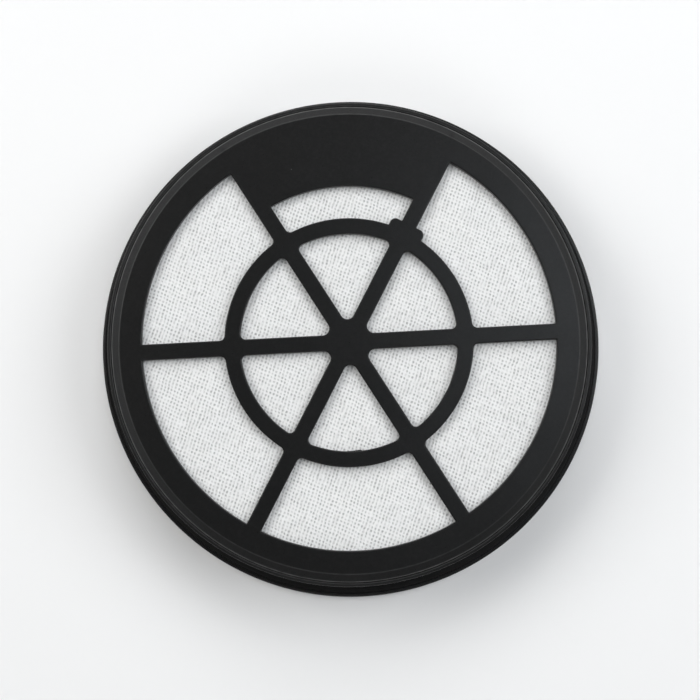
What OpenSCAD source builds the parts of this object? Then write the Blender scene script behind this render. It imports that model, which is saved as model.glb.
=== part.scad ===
// Round cassette filter of a vacuum cleaner. +Z is the filter's axis, towards the grille.
// +Y points at the grille's closed segment. The origin is the centre of the rear face.

/* [Rear frame] */
// Diameter of the wall's upper band, which the housing's bore locates
wall_d = 139; // [134:0.5:143]
// Height of the whole filter, from the rear face to the grille's front face
overall_h = 27.5; // [24:0.5:36]
// Thickness of the wall's rim round the cap
rim_t = 1.2; // [1:0.1:1.8]
// Height of the straight upper band of the wall
band_h = 6; // [5:0.5:9]
// How much further out the wall stands at the flange than at its rim
wall_flare = 0.6; // [0.2:0.1:0.8]
// Depth of the wall's rim below the foot of the cap's bevel
rim_drop = 0.5; // [0.3:0.1:0.6]
// Radius of the rim's edges
rim_edge_r = 0.4; // [0.2:0.05:0.45]
// Width of the step inside the wall that carries the cap's skirt
seat_w = 2; // [1.6:0.1:2.6]
// Thickness of the rear floor and of its ribs
floor_t = 2; // [1.6:0.2:3]
// Width of the floor's ring inside the wall
floor_band_w = 5; // [3.5:0.5:9]
// Number of rear ribs from the centre to the floor's ring
rear_rib_count = 4; // [3:1:6]
// Width of the rear ribs and of the rear ring
rear_rib_w = 3; // [2:0.25:4.5]
// Radius of the fillets where rear ribs meet
rear_fillet_r = 2; // [1:0.25:3]

/* [Flange and seal] */
// Radial width of the seal, which sets how far the flange stands out
seal_w = 3.6; // [2:0.1:10]
// Height of the flange's channel floor above the rear face
flange_t = 2.2; // [1.6:0.1:3.5]
// Radial thickness of the flange's outer lip
lip_w = 1; // [0.8:0.1:1.6]
// Height of the lip above the channel floor
lip_h = 1.3; // [0.8:0.1:2]
// Radius of the flange's outer edges
flange_edge_r = 0.4; // [0.2:0.1:0.7]
// Thickness of the seal
seal_t = 1.7; // [1:0.1:2.5]
// Gap on each side of the seal in its channel
seal_gap = 0.15; // [0.05:0.05:0.3]

/* [Grille cap] */
// Gap round the cap inside the wall's rim
cap_gap = 0.15; // [0.05:0.05:0.3]
// Thickness of the grille
grille_t = 2; // [1.6:0.1:2.6]
// Width of the bevel round the face
bevel_w = 2.4; // [1.4:0.1:3]
// Height of the bevel
bevel_h = 1.9; // [1.2:0.1:2.2]
// Radius of the edges of the face and of the bevel
cap_edge_r = 0.3; // [0.2:0.05:0.4]
// Width of the flat face between the windows and the bevel
face_band_w = 6.6; // [4:0.2:9]
// Number of spokes
spoke_count = 6; // [4:1:8]
// Width of the spokes
spoke_w = 4.55; // [3:0.05:6]
// Diameter of the grille's ring, along the middle of its width
ring_d = 66.6; // [56:0.2:76]
// Width of the grille's ring
ring_w = 4.5; // [3:0.1:6]
// Angle by which the grille stands turned in the frame
grille_turn = 2.9; // [-10:0.1:10]
// Depth of the closed segment, inwards from the edge of the windows
segment_w = 14.3; // [8:0.1:17]
// Radius of the fillets where spokes meet at the hub
hub_fillet_r = 2; // [1:0.1:3]
// Radius of the fillets where spokes meet the ring
ring_fillet_r = 1.5; // [0.8:0.1:2.5]
// Width of the pad over the spoke right of the closed segment
pad_w = 10.4; // [8:0.1:13]
// Distance by which the pad stands out beyond the ring
pad_reach = 2.3; // [1.8:0.1:4]
// Radius of the pad's corners
pad_corner_r = 1.6; // [0.8:0.1:1.7]
// Depth of the skirt below the bevel
skirt_h = 3; // [2.5:0.1:3.5]
// Distance by which the skirt's inside stands back from the bore below it
skirt_back = 0.15; // [0.1:0.05:0.4]
// Height by which the snap ridge stands out from the skirt
snap_h = 0.4; // [0.25:0.05:0.5]
// Gap between the snap ridge and its groove
snap_gap = 0.1; // [0.05:0.05:0.2]

/* [Filter stack] */
// Thickness of the cover cloth
cloth_t = 0.6; // [0.4:0.1:1]
// Gap between the grille and the cloth
cloth_gap = 0.4; // [0.1:0.1:0.8]
// Gap where one layer lies on the next
layer_gap = 0.1; // [0.05:0.05:0.2]
// Height of the pack above the rear floor
pack_lift = 1; // [0.2:0.1:2]
// Width of the sealant round the pleats
potting_w = 2.2; // [1.6:0.1:3.5]
// Film of air round the sealant
potting_gap = 0.05; // [0.02:0.01:0.1]
// Distance from one pleat to the next
pleat_pitch = 4; // [3.4:0.1:6]
// Thickness of the filter paper
paper_t = 0.5; // [0.3:0.05:0.6]
// Width of a pleat at its fold
fold_w = 1.3; // [1.25:0.05:1.45]

/* [Spacer beads] */
// Number of glue beads on each face of the pack
bead_count = 4; // [2:1:5]
// Distance from one bead to the next
bead_pitch = 26; // [18:1:28]
// Width of a bead
bead_w = 1.6; // [1:0.1:2.4]
// Height of a bead above the folds
bead_t = 0.45; // [0.3:0.05:0.8]
// Depth to which a bead fills the pleats below the folds
bead_depth = 2.5; // [1.5:0.25:4]

/* [Hidden] */
$fn = 144;
far = 2 * wall_d;                         // longer than the part, for cutting shapes
bite = 0.6;                               // how far webs and cutters reach past what they meet
dip = 0.005;                              // how far a fillet's arc runs past its tangent points

wall_r = wall_d / 2;
rim_in_r = wall_r - rim_t;                // bore that takes the cap
bore_r = rim_in_r - seat_w;               // bore that takes the filter pack
cap_r = rim_in_r - cap_gap;
face_r = cap_r - bevel_w;
window_r = face_r - face_band_w;
segment_r = window_r - segment_w;
ring_in_r = (ring_d - ring_w) / 2;
ring_out_r = (ring_d + ring_w) / 2;
spoke_step = 360 / spoke_count;
pad_spoke = 1;                            // the pad and the closed segment start at this spoke
rear_window_r = bore_r - floor_band_w;
rear_step = 360 / rear_rib_count;

bevel_z = overall_h - bevel_h;            // foot of the bevel
bevel_normal = atan2(bevel_w, bevel_h);   // direction that the bevel faces, above the horizontal
skirt_z = bevel_z - skirt_h;              // lower end of the skirt
rim_z = bevel_z - rim_drop;               // top of the wall's rim
seat_z = skirt_z - layer_gap;             // step that carries the skirt
grille_z = overall_h - grille_t;          // back of the grille
cloth_z = grille_z - cloth_gap - cloth_t; // back of the cloth
stack_top = cloth_z - layer_gap;          // top of the front beads and of the sealant
potting_foot = floor_t + layer_gap;
fold_top = stack_top - bead_t;
fold_foot = floor_t + pack_lift + bead_t;
snap_z = (seat_z + rim_z - rim_edge_r) / 2; // the snap ridge's crest, midway up the rim's bore
channel_in_r = wall_r + wall_flare;       // the seal's channel, between the wall and the lip
channel_out_r = channel_in_r + seal_w + 2 * seal_gap;
flange_r = channel_out_r + lip_w;
potting_r = bore_r - potting_gap;
pack_r = potting_r - potting_w;
cloth_r = potting_r;

// Pleats: a wave of flat folds and straight flanks, with its flanks as thick as the paper
pleat_count = floor(2 * pack_r / pleat_pitch);
pleat_h = fold_top - fold_foot;
flank_run = pleat_pitch / 2 - fold_w + paper_t;
flank_lean = flank_run / pleat_h;
fold_in = paper_t - flank_lean * paper_t; // how far a fold's inner face is narrower, on each side

// Round corner of radius r about centre c, as points from angle a to angle b
function corner(c, r, a, b, steps = 4) =
    [for (i = [0:steps]) c + r * [cos(a + (b - a) * i / steps), sin(a + (b - a) * i / steps)]];

// Place of item number i of n in a row about the middle
function in_row(i, n, pitch) = (i - (n - 1) / 2) * pitch;

// Largest number of folds that fit in a length, with a fold in the middle if odd is 1
function folds_in(length, odd) = 2 * floor((length / pleat_pitch - odd) / 2) + odd;

// Corner web between the side of a rib along +X and a circle; out is 1 if the window lies
// outside the circle and -1 if it lies inside
module ring_web(circle_r, rib_w, fillet_r, out) {
    centre_y = rib_w / 2 + fillet_r;
    reach = circle_r + out * fillet_r;
    centre = [sqrt(reach * reach - centre_y * centre_y), centre_y];
    corner_x = sqrt(circle_r * circle_r - rib_w * rib_w / 4);
    difference() {
        polygon([
            centre,
            [centre.x, rib_w / 2 - bite],
            [corner_x - out * bite, rib_w / 2 - bite],
            centre * (circle_r - out * bite) / reach
        ]);
        translate(centre) circle(r = fillet_r + dip);
    }
}

// Corner web between two ribs at the hub, one along +X and the next one step round
module hub_web(step, rib_w, fillet_r) {
    reach = (rib_w / 2 + fillet_r) / sin(step / 2);
    along = reach * cos(step / 2);
    centre = reach * [cos(step / 2), sin(step / 2)];
    deep = rib_w / 2 - bite;
    difference() {
        polygon([
            centre,
            [along, deep],
            [0, 0],
            along * [cos(step), sin(step)] + deep * [sin(step), -cos(step)]
        ]);
        translate(centre) circle(r = fillet_r + dip);
    }
}

// Space between a rib along +X and the next one, one step round, between two radii
module sector(step, rib_w, r_in, r_out) {
    intersection() {
        difference() {
            circle(r = r_out);
            if (r_in > 0) circle(r = r_in);
        }
        translate([0, rib_w / 2]) square(far);
        rotate(step) translate([0, -rib_w / 2 - far]) square(far);
    }
}

// A window from the hub to the ring, with its three corners rounded
module hub_window(step, rib_w, r_out, hub_r, ring_r) {
    difference() {
        sector(step, rib_w, 0, r_out);
        hub_web(step, rib_w, hub_r);
        ring_web(r_out, rib_w, ring_r, -1);
        rotate(step) mirror([0, 1]) ring_web(r_out, rib_w, ring_r, -1);
    }
}

// A window outside the ring, with its two corners at the ring rounded
module rim_window(step, rib_w, r_in, r_out, ring_r) {
    difference() {
        sector(step, rib_w, r_in, r_out);
        ring_web(r_in, rib_w, ring_r, 1);
        rotate(step) mirror([0, 1]) ring_web(r_in, rib_w, ring_r, 1);
    }
}

// Pad over a spoke along +X, from inside the ring to beyond it
module pad() {
    pad_end = ring_out_r + pad_reach;
    straight = pad_w / 2 - pad_corner_r;
    polygon(concat(
        [[ring_in_r + bite, -pad_w / 2]],
        corner([pad_end - pad_corner_r, -straight], pad_corner_r, -90, 0, 8),
        corner([pad_end - pad_corner_r, straight], pad_corner_r, 0, 90, 8),
        [[ring_in_r + bite, pad_w / 2]]
    ));
}

// The windows of the grille, the pad left standing
module grille_windows() {
    difference() {
        rotate(grille_turn)
            for (i = [0:spoke_count - 1])
                rotate(i * spoke_step) {
                    hub_window(spoke_step, spoke_w, ring_in_r, hub_fillet_r, ring_fillet_r);
                    rim_window(
                        spoke_step, spoke_w, ring_out_r,
                        i == pad_spoke ? segment_r : window_r,
                        ring_fillet_r
                    );
                }
        rotate(grille_turn + pad_spoke * spoke_step) pad();
    }
}

module grille_cap() {
    skirt_in_r = bore_r + skirt_back;
    edge = [cap_edge_r, cap_edge_r];
    color("#232424")
        difference() {
            rotate_extrude()
                polygon(concat(
                    [[0, grille_z], [0, overall_h]],
                    corner([face_r, overall_h] - edge, cap_edge_r, 90, bevel_normal),
                    corner([cap_r, bevel_z] - edge, cap_edge_r, bevel_normal, 0),
                    [
                        [cap_r, snap_z + snap_h],
                        [cap_r + snap_h, snap_z],
                        [cap_r, snap_z - snap_h],
                        [cap_r, skirt_z + cap_edge_r],
                        [cap_r - cap_edge_r, skirt_z],
                        [skirt_in_r, skirt_z],
                        [skirt_in_r, grille_z]
                    ]
                ));
            translate([0, 0, grille_z - bite])
                linear_extrude(grille_t + 2 * bite)
                    grille_windows();
        }
}

module cover_cloth() {
    color("#e4e6e8")
        translate([0, 0, cloth_z])
            cylinder(r = cloth_r, h = cloth_t);
}

module pleat_pack() {
    n = pleat_count;
    half = pleat_pitch / 2;
    last = in_row(n - 1, n, pleat_pitch) + half - fold_w / 2 + 2 * paper_t;
    front = [
        for (i = [0:n - 1]) each let (x = in_row(i, n, pleat_pitch)) [
            [x - half + fold_w / 2 - fold_in, fold_foot + paper_t],
            [x - fold_w / 2, fold_top],
            [x + fold_w / 2, fold_top],
            [x + half - fold_w / 2 + fold_in, fold_foot + paper_t]
        ]
    ];
    back = [
        for (i = [n - 1:-1:0]) each let (x = in_row(i, n, pleat_pitch)) [
            [x + half - fold_w / 2, fold_foot],
            [x + fold_w / 2 - fold_in, fold_top - paper_t],
            [x - fold_w / 2 + fold_in, fold_top - paper_t],
            [x - half + fold_w / 2, fold_foot]
        ]
    ];
    color("#eceae2")
        intersection() {
            rotate([90, 0, 0])
                linear_extrude(2 * pack_r, center = true)
                    polygon(concat(
                        [[-last, fold_foot], [-last, fold_foot + paper_t]],
                        front,
                        [[last, fold_foot + paper_t], [last, fold_foot]],
                        back
                    ));
            cylinder(r = pack_r, h = overall_h);
        }
}

module potting_ring() {
    color("#d8d4c4")
        rotate_extrude()
            translate([pack_r + potting_gap, potting_foot])
                square([potting_w - potting_gap, stack_top - potting_foot]);
}

// Rear ribs with their ring, as one flat grille
module rear_windows() {
    rear_ring_in_r = (ring_d - rear_rib_w) / 2;
    rear_ring_out_r = (ring_d + rear_rib_w) / 2;
    for (i = [0:rear_rib_count - 1])
        rotate(i * rear_step) {
            hub_window(rear_step, rear_rib_w, rear_ring_in_r, rear_fillet_r, rear_fillet_r);
            rim_window(rear_step, rear_rib_w, rear_ring_out_r, rear_window_r, rear_fillet_r);
        }
}

module rear_frame() {
    groove = snap_h + snap_gap;
    band_z = rim_z - band_h;
    lip_z = flange_t + lip_h;
    color("#1f2021")
        difference() {
            rotate_extrude()
                polygon(concat(
                    [[0, 0]],
                    corner([flange_r - flange_edge_r, flange_edge_r], flange_edge_r, -90, 0),
                    corner([flange_r - flange_edge_r, lip_z - flange_edge_r], flange_edge_r, 0, 90),
                    [
                        [channel_out_r, lip_z],
                        [channel_out_r, flange_t],
                        [channel_in_r, flange_t],
                        [wall_r, band_z]
                    ],
                    corner([wall_r - rim_edge_r, rim_z - rim_edge_r], rim_edge_r, 0, 90),
                    corner([rim_in_r + rim_edge_r, rim_z - rim_edge_r], rim_edge_r, 90, 180),
                    [
                        [rim_in_r, snap_z + groove],
                        [rim_in_r + groove, snap_z],
                        [rim_in_r, snap_z - groove],
                        [rim_in_r, seat_z],
                        [bore_r, seat_z],
                        [bore_r, floor_t],
                        [0, floor_t]
                    ]
                ));
            translate([0, 0, -bite])
                linear_extrude(floor_t + 2 * bite)
                    rear_windows();
        }
}

module seal_ring() {
    color("#141414")
        rotate_extrude()
            translate([channel_in_r + seal_gap, flange_t])
                square([seal_w, seal_t]);
}

// Bead number i of bead_count across the folds, on the front face if side is 1 and on the
// rear face if it is -1. Its underside follows the folds.
module spacer_bead(i, side) {
    y = in_row(i - 1, bead_count, bead_pitch);
    reach = sqrt(pack_r * pack_r - pow(abs(y) + bead_w / 2, 2));
    // The rear face has its folds between those of the front face
    n = folds_in(2 * reach, (pleat_count + (side > 0 ? 0 : 1)) % 2);
    top = pleat_h / 2;
    low = top - bead_depth;
    low_w = fold_w / 2 + flank_lean * bead_depth;
    end = n * pleat_pitch / 2;
    underside = [
        for (k = [0:n - 1]) each let (x = in_row(k, n, pleat_pitch)) [
            if (k > 0) [x - low_w, low],
            [x - fold_w / 2, top],
            [x + fold_w / 2, top],
            if (k < n - 1) [x + low_w, low]
        ]
    ];
    color("#f4f1e6")
        translate([0, y, (fold_top + fold_foot) / 2])
            rotate([90, 0, 0])
                linear_extrude(bead_w, center = true)
                    scale([1, side])
                        polygon(concat(
                            underside,
                            [[end, top], [end, top + bead_t], [-end, top + bead_t], [-end, top]]
                        ));
}

grille_cap();
cover_cloth();
pleat_pack();
potting_ring();
rear_frame();
seal_ring();
for (i = [1:bead_count]) {
    spacer_bead(i, 1);
    spacer_bead(i, -1);
}
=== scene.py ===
"""Looks of a round cassette filter of a vacuum cleaner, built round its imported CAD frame.

Lengths are millimetres, and a mesh gets metres when it is made. +Z is the filter's axis, towards
the grille, and +Y points at the grille's closed segment.
"""

import math

import bmesh
import bpy
import numpy as np
from mathutils import Matrix, Vector, noise
from mathutils.geometry import delaunay_2d_cdt


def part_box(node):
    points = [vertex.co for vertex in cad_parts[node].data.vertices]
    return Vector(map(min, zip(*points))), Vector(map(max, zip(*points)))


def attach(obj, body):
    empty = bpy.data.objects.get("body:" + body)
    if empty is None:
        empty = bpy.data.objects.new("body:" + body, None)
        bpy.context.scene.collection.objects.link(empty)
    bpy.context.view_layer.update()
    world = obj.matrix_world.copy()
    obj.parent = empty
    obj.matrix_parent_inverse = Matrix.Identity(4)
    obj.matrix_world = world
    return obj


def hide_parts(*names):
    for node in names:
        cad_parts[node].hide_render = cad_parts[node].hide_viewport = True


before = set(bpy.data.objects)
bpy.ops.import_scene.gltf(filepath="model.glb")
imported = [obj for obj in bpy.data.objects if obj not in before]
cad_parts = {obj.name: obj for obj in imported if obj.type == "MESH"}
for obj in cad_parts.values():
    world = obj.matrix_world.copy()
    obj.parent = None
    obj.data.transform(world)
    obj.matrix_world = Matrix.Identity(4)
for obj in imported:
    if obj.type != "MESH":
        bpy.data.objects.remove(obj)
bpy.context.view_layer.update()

MM = 0.001
BODY = "root"


def box_mm(node):
    """Lowest and highest corner of a CAD node, in millimetres."""
    low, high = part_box(node)
    return low / MM, high / MM


# Grille cap
cap_low, cap_high = box_mm("grille_cap")
SNAP_H = 0.4
BEVEL_W = 2.4
BEVEL_H = 1.9
CAP_EDGE_R = 0.3
GRILLE_T = 2.0
SKIRT_IN_R = 66.45
FACE_BAND_W = 6.6
SEGMENT_W = 14.3
SPOKE_COUNT = 6
SPOKE_W = 4.55
GRILLE_TURN = 2.9
RING_R = 33.3
RING_W = 4.5
HUB_FILLET_R = 2.0
RING_FILLET_R = 1.5
PAD_SPOKE = 1
PAD_W = 10.4
PAD_REACH = 2.3
PAD_CORNER_R = 1.6
CORNER_R = 0.25          # smallest corner that the mould leaves in a window
WINDOW_EDGE_R = 0.35     # round edge of the windows at the face
BACK_EDGE_R = 0.1
BURR_SPAN = (-0.3, 3.7)  # flash on the ring's inner edge, along X
BURR_H = 0.42
NIB_ANGLES = (63.3, 123.0)
NIB_H = 0.12
NIB_REACH = 0.6          # how far a nib goes to both sides of the edge

top_z = cap_high.z
skirt_z = cap_low.z
cap_r = cap_high.x - SNAP_H
face_r = cap_r - BEVEL_W
window_r = face_r - FACE_BAND_W
segment_r = window_r - SEGMENT_W
ring_in_r = RING_R - RING_W / 2
ring_out_r = RING_R + RING_W / 2
bevel_z = top_z - BEVEL_H
grille_z = top_z - GRILLE_T
spoke_step = 360 / SPOKE_COUNT

# Rear frame
frame_low, frame_high = box_mm("rear_frame")
LIP_W = 1.0
LIP_TOP = 3.5
FLANGE_EDGE_R = 0.4
WALL_FLARE = 0.6
BAND_H = 6.0
RIM_T = 1.2
RIM_EDGE_R = 0.4
SEAT_W = 2.0
SEAT_DROP = 0.1
SNAP_GAP = 0.1
FLOOR_T = 2.0
FLOOR_BAND_W = 5.0
REAR_RIB_COUNT = 4
REAR_RIB_W = 3.0
REAR_FILLET_R = 2.0
FRAME_EDGE_R = 0.3

flange_r = frame_high.x
rim_z = frame_high.z
seal_low, seal_high = box_mm("seal_ring")
SEAL_W = 3.6
SEAL_GAP = 0.15
channel_z = seal_low.z
channel_out_r = flange_r - LIP_W
channel_in_r = channel_out_r - SEAL_W - 2 * SEAL_GAP
wall_r = channel_in_r - WALL_FLARE
rim_in_r = wall_r - RIM_T
bore_r = rim_in_r - SEAT_W
seat_z = skirt_z - SEAT_DROP
snap_z = (seat_z + rim_z - RIM_EDGE_R) / 2
floor_window_r = bore_r - FLOOR_BAND_W

# Filter stack
cloth_low, cloth_high = box_mm("cover_cloth")
pack_low, pack_high = box_mm("pleat_pack")
potting_low, potting_high = box_mm("potting_ring")
PLEAT_PITCH = 4.0
PAPER_T = 0.5
FOLD_W = 1.3
PAPER_PLAY = 0.2         # the cut round stays this far inside the pack's circle
SHORTEST_FOLD = 0.4      # paper nearer than this to the sides of the circle is left out
PAPER_WAVE = 0.16        # how far the pleats wander sideways
BEAD_DEPTH = 2.0         # how far a bead has sunk between two folds
BEAD_INSET = 0.3
BEAD_STEP = 0.25

cloth_r = cloth_high.x
pack_r = pack_high.y
potting_r = potting_high.x
potting_in_r = pack_r + 0.05
pleat_count = math.floor(2 * pack_r / PLEAT_PITCH)

# Painted highlights: thin glints along round edges, painted lighter into the plastic's colour, as
# radius and strength
PAINTED_EDGE_GLINTS = ((cap_r - 0.12, 0.8), (face_r - 0.1, 0.18), (rim_in_r + 0.25, 0.2))
PAINTED_GLINT_LEVEL = 0.13

# Weave of the cloth: two crossing waves, as pitch and direction from +X
WEAVE = ((1.010, -17.5), (1.058, 66.5))
WEAVE_DRIFT = 1.1        # how far noise pushes the rows, in pitches
CLOTH_RISE = 0.3         # how far the cloth stands up in the middle of a window
CLOTH_LEVEL = 0.93
PIT_LEVEL = 0.40

# Brightness of the studio's walls
HORIZON_LIGHT = 0.85
ZENITH_LIGHT = 0.05
FLOOR_R = 8.0            # metres
FLOOR_STEPS = 96
GLOW_SPAN = (220, 1500)  # where the floor starts to glow, and where it glows most
FAR_GLOW = 0.55

# Mesh fineness
ROUND_STEPS = 720
ARC_STEP = 0.5           # longest side along an arc
EDGE_STEPS = 4           # sides across a round edge
GUARD = 0.08             # flat strip beside a round edge, which keeps flat faces flat in shading
LONG_STRETCH = 9 * GUARD


def unit(angle):
    """Direction at an angle from +X."""
    return np.array([math.cos(math.radians(angle)), math.sin(math.radians(angle))])


def turned(v, angle):
    """A 2D vector turned by an angle in radians."""
    c, s = math.cos(angle), math.sin(angle)
    return np.array([c * v[0] - s * v[1], s * v[0] + c * v[1]])


class Line:
    """Straight side of a window, which lies where a point reaches past offset along normal."""

    def __init__(self, normal_angle, offset):
        self.normal = unit(normal_angle)
        self.offset = offset

    def foot(self, centre, radius):
        return centre - radius * self.normal

    def normal_at(self, point):
        return self.normal


class Arc:
    """Side of a window along a circle about the origin, outside it if sense is 1, inside if -1."""

    def __init__(self, radius, sense):
        self.radius = radius
        self.sense = sense

    def foot(self, centre, radius):
        return centre * self.radius / np.linalg.norm(centre)

    def normal_at(self, point):
        return self.sense * point / np.linalg.norm(point)


def fillet_centre(a, b, radius, hint):
    """Centre of the fillet between two sides, the one nearest the hint. A fillet with a negative
    radius rounds a corner of the plastic that juts into the window."""
    if isinstance(a, Line) and isinstance(b, Line):
        return np.linalg.solve(
            np.array([a.normal, b.normal]), np.array([a.offset + radius, b.offset + radius])
        )
    line, arc = (a, b) if isinstance(a, Line) else (b, a)
    reach = arc.radius + arc.sense * radius
    base = line.normal * (line.offset + radius)
    along = np.array([-line.normal[1], line.normal[0]])
    half = math.sqrt(reach**2 - (line.offset + radius) ** 2)
    found = [base + half * along, base - half * along]
    return min(found, key=lambda p: np.linalg.norm(p - hint))


def outline(sides, corners):
    """Closed outline of a window, counterclockwise, as points with normals into the window.
    corners holds a radius and a hint for the corner after each side."""
    arcs = []
    for i, (radius, hint) in enumerate(corners):
        a, b = sides[i], sides[(i + 1) % len(sides)]
        centre = fillet_centre(a, b, radius, hint)
        start = a.normal_at(a.foot(centre, radius))
        end = b.normal_at(b.foot(centre, radius))
        sweep = math.atan2(start[0] * end[1] - start[1] * end[0], float(start @ end))
        steps = max(5, round(abs(sweep * radius) / 0.3))
        normals = [turned(start, sweep * k / steps) for k in range(steps + 1)]
        arcs.append([(centre - radius * n, n) for n in normals])
    points = []
    for i, arc in enumerate(arcs):
        points += arc
        side = sides[(i + 1) % len(sides)]
        if isinstance(side, Arc):
            points += between(side, arc[-1][0], arcs[(i + 1) % len(arcs)][0][0])
    return np.array([p for p, _ in points]), np.array([n for _, n in points])


def between(side, start, end):
    """Points with normals along a circular side, between its two fillets."""
    a = math.atan2(start[1], start[0])
    turn = (math.atan2(end[1], end[0]) - a + math.pi) % (2 * math.pi) - math.pi
    steps = max(2, round(abs(turn) * side.radius / ARC_STEP))
    found = [side.radius * unit(math.degrees(a + turn * k / steps)) for k in range(1, steps)]
    return [(p, side.normal_at(p)) for p in found]


def hub_window(start, step, rib_w, r_out, hub_fillet, ring_fillet):
    """Window between two ribs, from the hub to the inside of a ring."""
    end = start + step
    sides = [Line(start + 90, rib_w / 2), Arc(r_out, -1), Line(end - 90, rib_w / 2)]
    return outline(sides, [
        (ring_fillet, r_out * unit(start)),
        (ring_fillet, r_out * unit(end)),
        (hub_fillet, np.zeros(2)),
    ])


def rim_window(start, step, rib_w, r_in, r_out, ring_fillet, pad=None):
    """Window between two ribs outside a ring. pad says which end has half of the pad in it."""
    end = start + step
    sides = [
        Line(start + 90, rib_w / 2), Arc(r_out, -1), Line(end - 90, rib_w / 2), Arc(r_in, 1)
    ]
    corners = [
        (CORNER_R, r_out * unit(start)),
        (CORNER_R, r_out * unit(end)),
        (ring_fillet, r_in * unit(end)),
        (ring_fillet, r_in * unit(start)),
    ]
    reach = r_in + PAD_REACH
    if pad == "start":
        sides += [Line(start + 90, PAD_W / 2), Line(start, reach)]
        corners[3:] = [(CORNER_R, r_in * unit(start)), (-PAD_CORNER_R, None), (CORNER_R, None)]
    if pad == "end":
        sides[3:] = [Line(end, reach), Line(end - 90, PAD_W / 2), Arc(r_in, 1)]
        corners[2:3] = [(CORNER_R, None), (-PAD_CORNER_R, None), (CORNER_R, r_in * unit(end))]
    return outline(sides, corners)


def grille_windows():
    """Outlines of all windows of the grille."""
    found = []
    for i in range(SPOKE_COUNT):
        start = GRILLE_TURN + i * spoke_step
        found.append(
            hub_window(start, spoke_step, SPOKE_W, ring_in_r, HUB_FILLET_R, RING_FILLET_R)
        )
        r_out = segment_r if i == PAD_SPOKE else window_r
        pad = {PAD_SPOKE: "start", PAD_SPOKE - 1: "end"}.get(i)
        found.append(
            rim_window(start, spoke_step, SPOKE_W, ring_out_r, r_out, RING_FILLET_R, pad)
        )
    return found


def rear_windows():
    """Outlines of all windows of the rear floor."""
    step = 360 / REAR_RIB_COUNT
    r_in, r_out = RING_R - REAR_RIB_W / 2, RING_R + REAR_RIB_W / 2
    found = []
    for i in range(REAR_RIB_COUNT):
        found.append(hub_window(i * step, step, REAR_RIB_W, r_in, REAR_FILLET_R, REAR_FILLET_R))
        found.append(rim_window(i * step, step, REAR_RIB_W, r_out, floor_window_r, REAR_FILLET_R))
    return found


class Builder:
    """Collects the points and faces of one mesh, in millimetres."""

    def __init__(self):
        self.points = []
        self.faces = []

    def loop(self, points):
        """Adds points and returns their numbers."""
        first = len(self.points)
        self.points += [tuple(float(x) for x in p) for p in points]
        return list(range(first, len(self.points)))

    def bridge(self, a, b):
        """Closes the strip between two closed loops of as many points."""
        n = len(a)
        for i in range(n):
            j = (i + 1) % n
            self.faces.append((a[i], a[j], b[j], b[i]))

    def skin(self, loops, closed=False):
        """Bridges a row of loops, and the last to the first if closed."""
        for a, b in zip(loops, loops[1:]):
            self.bridge(a, b)
        if closed:
            self.bridge(loops[-1], loops[0])

    def cap(self, loop):
        """Closes a loop with one face."""
        self.faces.append(tuple(loop))

    def fill(self, outer, holes):
        """Fills a flat level between an outer loop and its holes."""
        rings = [outer, *holes]
        index = [i for ring in rings for i in ring]
        flat = [Vector(self.points[i][:2]) for i in index]
        edges, first = [], 0
        for ring in rings:
            n = len(ring)
            edges += [(first + k, first + (k + 1) % n) for k in range(n)]
            first += n
        made = delaunay_2d_cdt(flat, edges, [], 0, 1e-7)
        origin = [group[0] for group in made[3]]
        polygons = [np.array([self.points[i][:2] for i in ring]) for ring in rings]
        corners = np.array([[tuple(flat[origin[v]]) for v in face] for face in made[2]])
        middle = corners.mean(axis=1)
        keep = inside(middle, polygons[0])
        for polygon in polygons[1:]:
            keep &= ~inside(middle, polygon)
        self.faces += [
            tuple(index[origin[v]] for v in face) for face, kept in zip(made[2], keep) if kept
        ]

    def mesh(self, name, sharp=35):
        """Makes the object, with its edges sharp past an angle in degrees."""
        made = bpy.data.meshes.new(name)
        made.from_pydata((np.array(self.points) * MM).tolist(), [], self.faces)
        work = bmesh.new()
        work.from_mesh(made)
        bmesh.ops.recalc_face_normals(work, faces=work.faces)
        work.to_mesh(made)
        work.free()
        made.polygons.foreach_set("use_smooth", [True] * len(made.polygons))
        made.set_sharp_from_angle(angle=math.radians(sharp))
        made.validate()
        obj = bpy.data.objects.new(name, made)
        bpy.context.scene.collection.objects.link(obj)
        return obj


def inside(points, polygon):
    """Which points lie inside a closed polygon."""
    x, y = points[:, 0], points[:, 1]
    found = np.zeros(len(points), bool)
    for (ax, ay), (bx, by) in zip(polygon, np.roll(polygon, -1, axis=0)):
        if ay == by:
            continue
        crosses = (ay > y) != (by > y)
        found ^= crosses & (x < ax + (y - ay) * (bx - ax) / (by - ay))
    return found


def ring_points(radius, z, steps=ROUND_STEPS):
    """Points of a circle about the axis."""
    angles = np.arange(steps) * 2 * math.pi / steps
    return [(radius * math.cos(a), radius * math.sin(a), z) for a in angles]


def round_profile(centre, radius, start, end, steps=EDGE_STEPS):
    """Points of a round edge in a profile of radius and height, between two directions."""
    return [
        (centre[0] + radius * d[0], centre[1] + radius * d[1])
        for d in (unit(start + (end - start) * k / steps) for k in range(steps + 1))
    ]


def guarded(profile):
    """A profile with a point close to each end of its long straight stretches."""
    found = []
    for i, point in enumerate(profile):
        a = np.array(point)
        found.append(a)
        if i + 1 == len(profile):
            break
        b = np.array(profile[i + 1])
        length = np.linalg.norm(b - a)
        if length > LONG_STRETCH:
            found += [a + (b - a) * GUARD / length, b - (b - a) * GUARD / length]
    return [tuple(p) for p in found]


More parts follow.
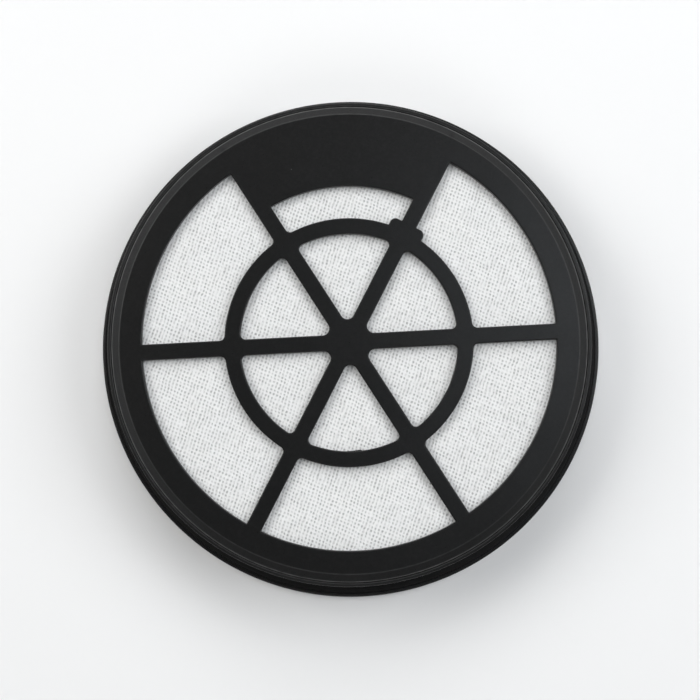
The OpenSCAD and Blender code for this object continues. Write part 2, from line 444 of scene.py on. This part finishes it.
def wall_levels(top, bottom, top_r, bottom_r):
    """Inset and height of each level of a window's wall, with round edges at both faces."""
    levels = [(top_r + GUARD, top)]
    for k in range(EDGE_STEPS + 1):
        a = math.radians(90 * k / EDGE_STEPS)
        levels.append((top_r * (1 - math.sin(a)), top - top_r * (1 - math.cos(a))))
    levels += [(0, top - top_r - GUARD), (0, bottom + bottom_r + GUARD)]
    for k in range(EDGE_STEPS, -1, -1):
        a = math.radians(90 * k / EDGE_STEPS)
        levels.append((bottom_r * (1 - math.sin(a)), bottom + bottom_r * (1 - math.cos(a))))
    levels.append((bottom_r + GUARD, bottom))
    return levels


def burr(points):
    """How far a thin flash stands into the windows at each point: it grows along the ring's
    inner edge, just right of the spokes' lower bay, and ends sharply."""
    x, y = points[:, 0], points[:, 1]
    near = (y < 0) & (np.hypot(x, y) > ring_in_r - 0.2) & (np.hypot(x, y) < ring_in_r + 0.01)
    start, end = BURR_SPAN
    share = np.clip((x - start) / (end - start), 0, 1)
    rise = BURR_H * (0.25 + 0.75 * share**1.5)
    return np.where(near & (x > start) & (x < end), rise, 0.0)


def window_walls(builder, windows, levels, burr_z=None):
    """Builds the walls of windows. Returns the loops at the first and last level. A level
    between the two heights of burr_z carries the flash."""
    firsts, lasts = [], []
    for points, normals in windows:
        loops = []
        for inset, z in levels:
            flat = points - inset * normals
            if burr_z and burr_z[0] < z < burr_z[1]:
                flat = flat + burr(points)[:, None] * normals
            loops.append(builder.loop([(x, y, z) for x, y in flat]))
        builder.skin(loops)
        firsts.append(loops[0])
        lasts.append(loops[-1])
    return firsts, lasts


def revolve(builder, profile, closed=False):
    """Turns a profile of radii and heights about the axis. Returns its first and last loop."""
    loops = [builder.loop(ring_points(r, z)) for r, z in profile]
    builder.skin(loops, closed)
    return loops[0], loops[-1]


def finish_piece(obj, material, slot, *nodes):
    """Gives a piece its material, attaches it to the body and hides the CAD nodes that it replaces.
    """
    obj.data.materials.clear()
    obj.data.materials.append(material)
    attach(obj, BODY)
    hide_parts(*nodes)


# Materials
class Shader:
    """A procedural material whose nodes work in the object's own coordinates."""

    def __init__(self, name, **settings):
        self.material = bpy.data.materials.new(name)
        self.material.use_nodes = True
        self.tree = self.material.node_tree
        self.main = self.tree.nodes["Principled BSDF"]
        for socket, value in settings.items():
            self.main.inputs[socket.replace("_", " ")].default_value = value
        self.place = self.tree.nodes.new("ShaderNodeTexCoord").outputs["Object"]

    def put(self, socket, value):
        """Sets a socket to a number or colour, or links it to another socket."""
        if isinstance(value, bpy.types.NodeSocket):
            self.tree.links.new(value, socket)
        else:
            socket.default_value = value

    def node(self, kind, settings=None, **inputs):
        node = self.tree.nodes.new("ShaderNode" + kind)
        for key, value in (settings or {}).items():
            setattr(node, key, value)
        for key, value in inputs.items():
            self.put(node.inputs[key.replace("_", " ")], value)
        return node

    def math(self, operation, *values):
        node = self.node("Math", {"operation": operation})
        for socket, value in zip(node.inputs, values):
            self.put(socket, value)
        return node.outputs[0]

    def noise(self, pitch, detail=2.0, roughness=0.5):
        """Noise from 0 to 1 whose lumps are about pitch millimetres apart."""
        node = self.node("TexNoise", Scale=1 / (pitch * MM), Detail=detail, Roughness=roughness)
        self.put(node.inputs["Vector"], self.place)
        return node.outputs["Fac"]

    def ramp(self, value, low, high, to_low=0.0, to_high=1.0):
        """Maps a value from low..high to to_low..to_high, kept inside."""
        node = self.node("MapRange", {"clamp": True})
        for key, x in zip(("Value", "From Min", "From Max", "To Min", "To Max"),
                          (value, low, high, to_low, to_high)):
            self.put(node.inputs[key], x)
        return node.outputs["Result"]

    def mix(self, factor, a, b):
        """Mixes two colours."""
        node = self.node("Mix", {"data_type": "RGBA"})
        self.put(node.inputs[0], factor)
        self.put(node.inputs[6], a)
        self.put(node.inputs[7], b)
        return node.outputs[2]

    def along(self, angle):
        """Distance in millimetres from the axis along a direction across it."""
        direction = unit(angle) / MM
        node = self.node("VectorMath", {"operation": "DOT_PRODUCT"})
        self.put(node.inputs[0], self.place)
        self.put(node.inputs[1], (direction[0], direction[1], 0.0))
        return node.outputs["Value"]

    def radius(self):
        """Distance in millimetres from the axis."""
        flat = self.node("VectorMath", {"operation": "MULTIPLY"})
        self.put(flat.inputs[0], self.place)
        self.put(flat.inputs[1], (1 / MM, 1 / MM, 0.0))
        length = self.node("VectorMath", {"operation": "LENGTH"})
        self.put(length.inputs[0], flat.outputs[0])
        return length.outputs["Value"]

    def bump(self, height, depth, under=None):
        """Bump of a height from 0 to 1 that stands for depth millimetres."""
        node = self.node("Bump", Strength=1.0, Distance=depth * MM, Height=height)
        if under is not None:
            self.put(node.inputs["Normal"], under)
        return node.outputs["Normal"]

    def link(self, **inputs):
        """Sets or links sockets of the main shader."""
        for key, value in inputs.items():
            self.put(self.main.inputs[key.replace("_", " ")], value)
        return self.material


def grey(level, tint=(1.0, 1.0, 1.0)):
    return (level * tint[0], level * tint[1], level * tint[2], 1.0)


def painted_edge_glint(s, middle, strength):
    """Mask of a painted highlight: a thin glint painted lighter along a round edge at a radius, in
    patches.
    """
    off = s.math("ABSOLUTE", s.math("SUBTRACT", s.radius(), middle))
    patchy = s.ramp(s.noise(2.5, 3), 0.25, 0.6, 0.45 * strength, strength)
    return s.math("MULTIPLY", s.ramp(off, 0.10, 0.26, 1.0, 0.0), patchy)


def moulded_plastic(name, base, roughness, grain):
    """Black satin plastic: spark-eroded grain, flow marks, scuffs, a few specks of dust, and
    painted highlights along round edges.
    """
    s = Shader(name, Specular_IOR_Level=0.28)
    flow = s.noise(26, 2)
    grit = s.noise(0.32, 3, 0.6)
    scuff = s.ramp(s.noise(1.1, 4, 0.7), 0.62, 0.78)
    fleck = s.noise(0.9, 4, 0.75)
    speck = s.node("TexVoronoi", {"feature": "F1"}, Scale=1 / (9 * MM))
    s.put(speck.inputs["Vector"], s.place)
    dust = s.ramp(speck.outputs["Distance"], 0.012, 0.020, 1.0, 0.0)
    body = s.mix(flow, grey(base * 0.85, (1.0, 1.02, 0.99)), grey(base * 1.15, (0.98, 1.0, 1.04)))
    body = s.mix(s.ramp(fleck, 0.44, 0.72, 0.0, 0.6), body, grey(base * 2.6))
    # Painted highlights: glints along the round edges, painted lighter into the colour
    for middle, strength in PAINTED_EDGE_GLINTS:
        glint_mask = painted_edge_glint(s, middle, strength)
        body = s.mix(glint_mask, body, grey(PAINTED_GLINT_LEVEL, (1.0, 1.0, 0.99)))
    body = s.mix(s.math("MULTIPLY", dust, 0.5), body, grey(0.16))
    rough = s.ramp(grit, 0.3, 0.7, roughness - 0.05, roughness + 0.06)
    rough = s.math("ADD", rough, s.math("MULTIPLY", scuff, 0.06))
    normal = s.bump(grit, grain, s.bump(flow, 0.25))
    return s.link(Base_Color=body, Roughness=rough, Normal=normal)


def seal_rubber():
    """Dull black foam rubber with fine open cells."""
    s = Shader("seal_rubber", Specular_IOR_Level=0.25)
    cells = s.node("TexVoronoi", {"feature": "F1"}, Scale=1 / (0.35 * MM))
    s.put(cells.inputs["Vector"], s.place)
    pores = s.ramp(cells.outputs["Distance"], 0.1, 0.5)
    base = s.mix(pores, grey(0.0035), grey(0.009))
    rough = s.ramp(s.noise(2.0, 3), 0.3, 0.7, 0.82, 0.95)
    return s.link(Base_Color=base, Roughness=rough, Normal=s.bump(pores, 0.05))


def cover_fabric():
    """White point-bonded cloth: two crossing waves leave rows of darker pits."""
    s = Shader("cover_cloth", Specular_IOR_Level=0.2, Roughness=0.9, Sheen_Weight=0.15,
               Sheen_Roughness=0.5)
    drift = s.math("SUBTRACT", s.noise(4.0, 3, 0.65), 0.5)
    waves = []
    for pitch, angle in WEAVE:
        turn = s.math("MULTIPLY", s.along(angle), 1 / pitch)
        turn = s.math("MULTIPLY_ADD", drift, WEAVE_DRIFT, turn)
        wave = s.math("COSINE", s.math("MULTIPLY", turn, 2 * math.pi))
        waves.append(s.math("MULTIPLY_ADD", wave, 0.5, 0.5))
    strong, weak = waves
    pits = s.math("MULTIPLY", strong, weak)
    # In patches the rows of pits run together into streaks
    patch = s.ramp(s.noise(3.4, 2), 0.42, 0.62, 0.12, 0.62)
    streaks = s.math("SUBTRACT", s.math("MULTIPLY", strong, 0.75), pits)
    pattern = s.math("MULTIPLY_ADD", streaks, patch, pits)
    fibre = s.noise(0.45, 4, 0.7)
    cloud = s.noise(14, 3)
    height = s.math("SUBTRACT", 1.0, pattern)
    height = s.math("MULTIPLY_ADD", fibre, 0.8, height)
    dark = s.math("MULTIPLY", pattern, s.ramp(s.noise(1.5, 3, 0.6), 0.32, 0.66, 0.25, 1.35))
    dark = s.math("MULTIPLY_ADD", s.ramp(fibre, 0.55, 0.8), 0.22, dark)
    cool, warm = grey(CLOTH_LEVEL, (0.99, 1.0, 1.01)), grey(CLOTH_LEVEL, (1.0, 1.0, 0.985))
    colour = s.mix(dark, s.mix(cloud, cool, warm), grey(PIT_LEVEL))
    return s.link(Base_Color=colour, Normal=s.bump(height, 0.12))


def filter_paper():
    """Off-white filter paper with short fibres."""
    s = Shader("filter_paper", Specular_IOR_Level=0.2, Roughness=0.9)
    fibre = s.noise(0.5, 5, 0.7)
    cloud = s.noise(9, 3)
    colour = s.mix(s.ramp(cloud, 0.3, 0.7), (0.80, 0.79, 0.73, 1), (0.86, 0.85, 0.80, 1))
    colour = s.mix(s.ramp(fibre, 0.55, 0.8), colour, (0.72, 0.70, 0.63, 1))
    return s.link(Base_Color=colour, Normal=s.bump(fibre, 0.06))


def cast_sealant(name, base, lumps, depth, gloss):
    """Cast or melted sealant: soft lumps, a little gloss and faint cloudiness."""
    s = Shader(name, Specular_IOR_Level=0.45)
    lump = s.noise(lumps, 3)
    cloud = s.noise(lumps * 4, 2)
    dark = tuple(0.86 * x for x in base) + (1.0,)
    colour = s.mix(s.ramp(cloud, 0.3, 0.7), dark, (*base, 1.0))
    rough = s.ramp(lump, 0.3, 0.7, gloss - 0.06, gloss + 0.08)
    return s.link(Base_Color=colour, Roughness=rough, Normal=s.bump(lump, depth))


# Pieces
def raise_nibs(builder):
    """Pushes out the two witness nibs that the mould left across the edge of the face."""
    for i, (x, y, z) in enumerate(builder.points):
        radius = math.hypot(x, y)
        if abs(radius - face_r) > NIB_REACH or z < top_z - NIB_REACH:
            continue
        angle = math.degrees(math.atan2(y, x))
        if min(abs(angle - nib) for nib in NIB_ANGLES) < 180 / ROUND_STEPS:
            grow = 1 + NIB_H / radius
            builder.points[i] = (x * grow, y * grow, min(top_z, z + NIB_H))


def make_grille_cap(material):
    windows = grille_windows()
    edge = CAP_EDGE_R
    bevel_normal = math.degrees(math.atan2(BEVEL_W, BEVEL_H))
    profile = [(face_r - edge - GUARD, top_z)]
    profile += guarded(
        round_profile((face_r - edge, top_z - edge), edge, 90, bevel_normal)
        + round_profile((cap_r - edge, bevel_z - edge), edge, bevel_normal, 0)
        + [
            (cap_r, snap_z + SNAP_H),
            (cap_r + SNAP_H, snap_z),
            (cap_r, snap_z - SNAP_H),
            (cap_r, skirt_z + edge),
            (cap_r - edge, skirt_z),
            (SKIRT_IN_R, skirt_z),
            (SKIRT_IN_R, grille_z),
        ]
    )
    profile.append((SKIRT_IN_R - GUARD, grille_z))
    b = Builder()
    first, last = revolve(b, profile)
    levels = wall_levels(top_z, grille_z, WINDOW_EDGE_R, BACK_EDGE_R)
    burr_z = (top_z - WINDOW_EDGE_R - 2 * GUARD, top_z - WINDOW_EDGE_R / 2)
    tops, backs = window_walls(b, windows, levels, burr_z)
    b.fill(first, tops)
    b.fill(last, backs)
    raise_nibs(b)
    finish_piece(b.mesh("moulded_grille"), material, "grille_plastic", "grille_cap")


def make_rear_frame(material):
    edge = FLANGE_EDGE_R
    rim = RIM_EDGE_R
    groove = SNAP_H + SNAP_GAP
    profile = [(flange_r - edge - GUARD, 0.0)]
    profile += guarded(
        round_profile((flange_r - edge, edge), edge, -90, 0)
        + round_profile((flange_r - edge, LIP_TOP - edge), edge, 0, 90)
        + [
            (channel_out_r, LIP_TOP),
            (channel_out_r, channel_z),
            (channel_in_r, channel_z),
            (wall_r, rim_z - BAND_H),
        ]
        + round_profile((wall_r - rim, rim_z - rim), rim, 0, 90)
        + round_profile((rim_in_r + rim, rim_z - rim), rim, 90, 180)
        + [
            (rim_in_r, snap_z + groove),
            (rim_in_r + groove, snap_z),
            (rim_in_r, snap_z - groove),
            (rim_in_r, seat_z),
            (bore_r, seat_z),
            (bore_r, FLOOR_T),
        ]
    )
    profile.append((bore_r - GUARD, FLOOR_T))
    b = Builder()
    first, last = revolve(b, profile)
    levels = wall_levels(FLOOR_T, 0.0, FRAME_EDGE_R, FRAME_EDGE_R)
    tops, backs = window_walls(b, rear_windows(), levels)
    b.fill(first, backs)
    b.fill(last, tops)
    finish_piece(b.mesh("moulded_frame"), material, "frame_plastic", "rear_frame")


def make_seal(material):
    """Soft ring in the flange's channel, with a crowned top."""
    inner, outer = channel_in_r + SEAL_GAP, channel_out_r - SEAL_GAP
    middle, half = (inner + outer) / 2, (outer - inner) / 2
    crown, steps = 0.5, 12
    profile = [(inner, seal_low.z)]
    for k in range(steps + 1):
        t = 2 * k / steps - 1
        profile.append((middle + half * t, seal_high.z - crown * (1 - math.sqrt(1 - 0.97 * t * t))))
    profile.append((outer, seal_low.z))
    b = Builder()
    revolve(b, profile, closed=True)
    finish_piece(b.mesh("foam_seal"), material, "seal_rubber", "seal_ring")


def grille_gap(x, y):
    """Distance from a point to the nearest plastic of the grille, or less than 0 under it."""
    radius = math.hypot(x, y)
    angle = math.degrees(math.atan2(y, x)) - GRILLE_TURN
    lean = (angle + spoke_step / 2) % spoke_step - spoke_step / 2
    spoke = radius * abs(math.sin(math.radians(lean))) - SPOKE_W / 2
    closed = 0 <= angle - PAD_SPOKE * spoke_step < spoke_step
    outer = (segment_r if closed else window_r) - radius
    ring = abs(radius - RING_R) - RING_W / 2
    return min(spoke, outer, ring)


def cloth_height(x, y):
    """Height of the cloth's upper face: it swells in the windows and wanders a little."""
    gap = max(0.0, grille_gap(x, y))
    swell = CLOTH_RISE * (1 - math.exp(-((gap / 5) ** 2)))
    wander = 0.12 * noise.noise((x / 11, y / 11, 3.7)) + 0.05 * noise.noise((x / 4, y / 4, 8.1))
    rim = min(1.0, (cloth_r - math.hypot(x, y)) / 3)
    return cloth_high.z + (swell + wander * rim) * rim


def make_cloth(material):
    """Round sheet of cloth, thin and closed."""
    steps, pitch = 288, 0.95
    rings = round(cloth_r / pitch)
    b = Builder()
    loops = []
    thickness = cloth_high.z - cloth_low.z
    edge = thickness / 2
    for side in (1, -1):
        radii = [(cloth_r - edge) * k / rings for k in range(1, rings + 1)]
        for r in radii if side > 0 else reversed(radii):
            points = ring_points(r, 0.0, steps)
            drop = 0 if side > 0 else thickness
            loops.append(b.loop([(x, y, cloth_height(x, y) - drop) for x, y, _ in points]))
        if side > 0:
            points = ring_points(cloth_r, 0.0, steps)
            loops.append(b.loop([(x, y, cloth_high.z - edge) for x, y, _ in points]))
    b.skin(loops)
    for loop, drop in ((loops[0], 0.0), (loops[-1], thickness)):
        centre = b.loop([(0.0, 0.0, cloth_height(0.0, 0.0) - drop)])[0]
        b.faces += [(loop[i], loop[(i + 1) % steps], centre) for i in range(steps)]
    obj = b.mesh("bonded_cloth", sharp=180)
    finish_piece(obj, material, "cover_cloth", "cover_cloth")


def pleat_line():
    """Middle line of the paper across the pleats, as points with normals, in X and Z."""
    top = pack_high.z - PAPER_T / 2
    foot = pack_low.z + PAPER_T / 2
    fold_r = (FOLD_W - PAPER_T) / 2
    half = PLEAT_PITCH / 2
    run = half - 2 * fold_r
    rise = top - foot - 2 * fold_r
    lean = math.degrees(math.atan2(run, rise))
    arc_steps, flank_steps = 6, 4
    found = []
    folds = 2 * pleat_count + 1
    for k in range(folds):
        x = (k - (folds - 1) / 2) * half
        front = k % 2 == 1
        sense = 1 if front else -1
        centre = np.array([x, top - fold_r if front else foot + fold_r])
        for j in range(arc_steps + 1):
            d = unit(sense * (90 + (90 - lean) * (1 - 2 * j / arc_steps)))
            found.append((centre + fold_r * d, sense * d))
        if k + 1 < folds:
            start, normal = found[-1]
            next_centre = np.array([x + half, foot + fold_r if front else top - fold_r])
            end = next_centre - sense * fold_r * normal
            found += [
                (start + (end - start) * j / flank_steps, normal) for j in range(1, flank_steps)
            ]
    return found


def make_pleats(material):
    """One sheet of paper folded many times and cut round at its ends."""
    across = 44
    b = Builder()
    rows = {1: [], -1: []}
    limit = pack_r - PAPER_PLAY
    for point, normal in pleat_line():
        if abs(point[0]) > limit - SHORTEST_FOLD:
            continue
        reach = math.sqrt(limit**2 - point[0] ** 2)
        for side in rows:
            x, z = point + side * normal * PAPER_T / 2
            row = []
            for j in range(across + 1):
                y = reach * (2 * j / across - 1)
                wave = PAPER_WAVE * noise.noise((point[0] / 3, y / 14, point[1] / 16))
                row.append((x + wave, y, z))
            rows[side].append(b.loop(row))
    n = len(rows[1])
    for side in rows:
        for a, c in zip(rows[side], rows[side][1:]):
            b.faces += [(a[j], a[j + 1], c[j + 1], c[j]) for j in range(across)]
    for end in (0, across):
        b.faces += [
            (rows[1][i][end], rows[1][i + 1][end], rows[-1][i + 1][end], rows[-1][i][end])
            for i in range(n - 1)
        ]
    for i in (0, n - 1):
        b.faces += [
            (rows[1][i][j], rows[1][i][j + 1], rows[-1][i][j + 1], rows[-1][i][j])
            for j in range(across)
        ]
    finish_piece(b.mesh("pleated_paper", sharp=50), material, "filter_paper", "pleat_pack")


def make_potting(material):
    """Cast sealant between pleats and frame, drawn up a little at its walls."""
    top, foot = potting_high.z, potting_low.z
    middle, half = (potting_in_r + potting_r) / 2, (potting_r - potting_in_r) / 2
    steps, dip = 8, 0.35
    profile = [(potting_in_r, foot), (potting_r, foot)]
    for k in range(steps + 1):
        t = 1 - 2 * k / steps
        profile.append((middle + half * t, top - dip * (1 - t * t)))
    b = Builder()
    revolve(b, profile, closed=True)
    finish_piece(b.mesh("cast_sealant"), material, "potting", "potting_ring")


def make_bead(node, material):
    """Line of hot-melt across the folds. It has sunk a little between them."""
    low, high = box_mm(node)
    front = "front" in node
    side = 1 if front else -1
    surface = high.z if front else low.z
    crest = pack_high.z if front else pack_low.z
    bead_t = side * (surface - crest)
    y, half_w = (low.y + high.y) / 2, (high.y - low.y) / 2
    phase = (pleat_count + (0 if front else 1)) % 2
    b = Builder()
    loops = []
    count = round((high.x - low.x - 2 * BEAD_INSET) / BEAD_STEP)
    around = 12
    for k in range(count + 1):
        x = low.x + BEAD_INSET + BEAD_STEP * k
        # 0 on a fold and 1 midway between two
        share = 1 - 2 * abs((x / PLEAT_PITCH + 0.5 * phase) % 1 - 0.5)
        eased = min(1.0, max(0.0, (share - 0.25) / 0.5))
        between_folds = 0.5 - 0.5 * math.cos(math.pi * eased)
        wander = noise.noise((x / 5, y, surface))
        end = min(1.0, 0.35 + min(k, count - k) / 4)
        wide = half_w * (0.86 + 0.12 * wander) * end
        tall = bead_t * (0.92 - 0.25 * between_folds) * end
        deep = BEAD_DEPTH * between_folds
        loop = []
        for j in range(around):
            a = 2 * math.pi * (j + 0.5) / around
            up = math.sin(a)
            z = crest + side * (tall * up if up > 0 else max(deep, 0.05) * up)
            loop.append((x, y + wide * math.cos(a) + 0.12 * wander, z))
        loops.append(b.loop(loop))
    b.skin(loops)
    b.cap(loops[0])
    b.cap(loops[-1])
    piece = b.mesh("hot_melt_" + node.replace("spacer_bead_", ""), sharp=180)
    finish_piece(piece, material, "hot_melt", node)


def make_pieces():
    make_grille_cap(moulded_plastic("grille_plastic", 0.0044, 0.32, 0.030))
    make_rear_frame(moulded_plastic("frame_plastic", 0.0043, 0.34, 0.026))
    make_seal(seal_rubber())
    make_pleats(filter_paper())
    make_cloth(cover_fabric())
    make_potting(cast_sealant("potting", (0.62, 0.58, 0.48), 3.0, 0.08, 0.45))
    glue = cast_sealant("hot_melt", (0.82, 0.79, 0.70), 1.2, 0.05, 0.35)
    for node in sorted(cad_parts):
        if node.startswith("spacer_bead_"):
            make_bead(node, glue)


# Surroundings
def make_camera():
    """Camera above the grille, a little towards -Y and +X, as in the photograph."""
    target = Vector((0.327, -2.28, top_z)) * MM
    eye = Vector((5.80, -23.3, 410.9)) * MM
    data = bpy.data.cameras.new("camera")
    data.lens = 69.42
    data.sensor_width = 36
    data.clip_start = 0.01
    data.clip_end = 50
    camera = bpy.data.objects.new("camera", data)
    bpy.context.scene.collection.objects.link(camera)
    back = (eye - target).normalized()
    right = Vector((0, 1, 0)).cross(back).normalized()
    up = back.cross(right)
    turn = Matrix((right, up, back)).transposed().to_4x4()
    camera.matrix_world = Matrix.Translation(eye) @ turn
    bpy.context.scene.camera = camera


def make_floor():
    """Pale matt table under the filter. It glows a little far off, so that it stays white."""
    made = bpy.data.meshes.new("floor")
    made.from_pydata(ring_points(FLOOR_R, 0.0, FLOOR_STEPS), [], [tuple(range(FLOOR_STEPS))])
    floor = bpy.data.objects.new("floor", made)
    bpy.context.scene.collection.objects.link(floor)
    s = Shader("floor", Specular_IOR_Level=0.1, Roughness=0.9)
    s.main.inputs["Emission Color"].default_value = grey(1.0)
    glow = s.ramp(s.radius(), *GLOW_SPAN, 0.0, FAR_GLOW)
    s.link(Base_Color=s.mix(s.noise(160, 2), grey(0.95), grey(0.97)), Emission_Strength=glow)
    made.materials.append(s.material)


def make_light(name, azimuth, elevation, distance, size, power, colour):
    """Softbox that faces the filter. Azimuth 0 stands on +X and 90 on +Y."""
    data = bpy.data.lights.new(name, "AREA")
    data.shape = "SQUARE"
    data.size = size
    data.energy = power
    data.color = colour
    light = bpy.data.objects.new(name, data)
    flat = unit(azimuth) * math.cos(math.radians(elevation))
    place = Vector((flat[0], flat[1], math.sin(math.radians(elevation)))) * distance
    light.location = place
    light.rotation_mode = "QUATERNION"
    light.rotation_quaternion = place.to_track_quat("Z", "Y")
    bpy.context.scene.collection.objects.link(light)


def shade_world(tree):
    """Studio walls: bright near the horizon, dark overhead and darker towards -Y."""
    place = tree.nodes.new("ShaderNodeTexCoord").outputs["Generated"]
    parts = tree.nodes.new("ShaderNodeSeparateXYZ")
    tree.links.new(place, parts.inputs["Vector"])
    levels = []
    for axis, low, high, to_low, to_high in (
        ("Z", 0.10, 0.50, HORIZON_LIGHT, ZENITH_LIGHT), ("Y", -0.8, -0.2, 0.25, 1.0)
    ):
        ramp = tree.nodes.new("ShaderNodeMapRange")
        for socket, value in zip(ramp.inputs[1:5], (low, high, to_low, to_high)):
            socket.default_value = value
        tree.links.new(parts.outputs[axis], ramp.inputs["Value"])
        levels.append(ramp.outputs["Result"])
    product = tree.nodes.new("ShaderNodeMath")
    product.operation = "MULTIPLY"
    for level, socket in zip(levels, product.inputs):
        tree.links.new(level, socket)
    background = tree.nodes["Background"]
    background.inputs["Color"].default_value = (0.96, 0.98, 1.0, 1.0)
    tree.links.new(product.outputs[0], background.inputs["Strength"])


def make_lights():
    make_light("left_softbox", 160, 46, 1.2, 0.7, 5.8, (1.0, 0.99, 0.97))
    make_light("right_softbox", 15, 46, 1.2, 0.7, 5.8, (0.96, 0.98, 1.0))
    make_light("top_softbox", 92, 42, 1.2, 0.7, 4.8, (1.0, 1.0, 1.0))
    make_light("front_fill", 268, 52, 1.3, 0.6, 2.2, (1.0, 1.0, 1.0))
    make_light("right_glow", 26, 74, 1.1, 0.2, 0.95, (0.88, 0.94, 1.0))
    world = bpy.data.worlds.new("studio")
    bpy.context.scene.world = world
    world.use_nodes = True
    shade_world(world.node_tree)


make_camera()
make_floor()
make_lights()
make_pieces()
bpy.context.scene.view_settings.view_transform = "Standard"
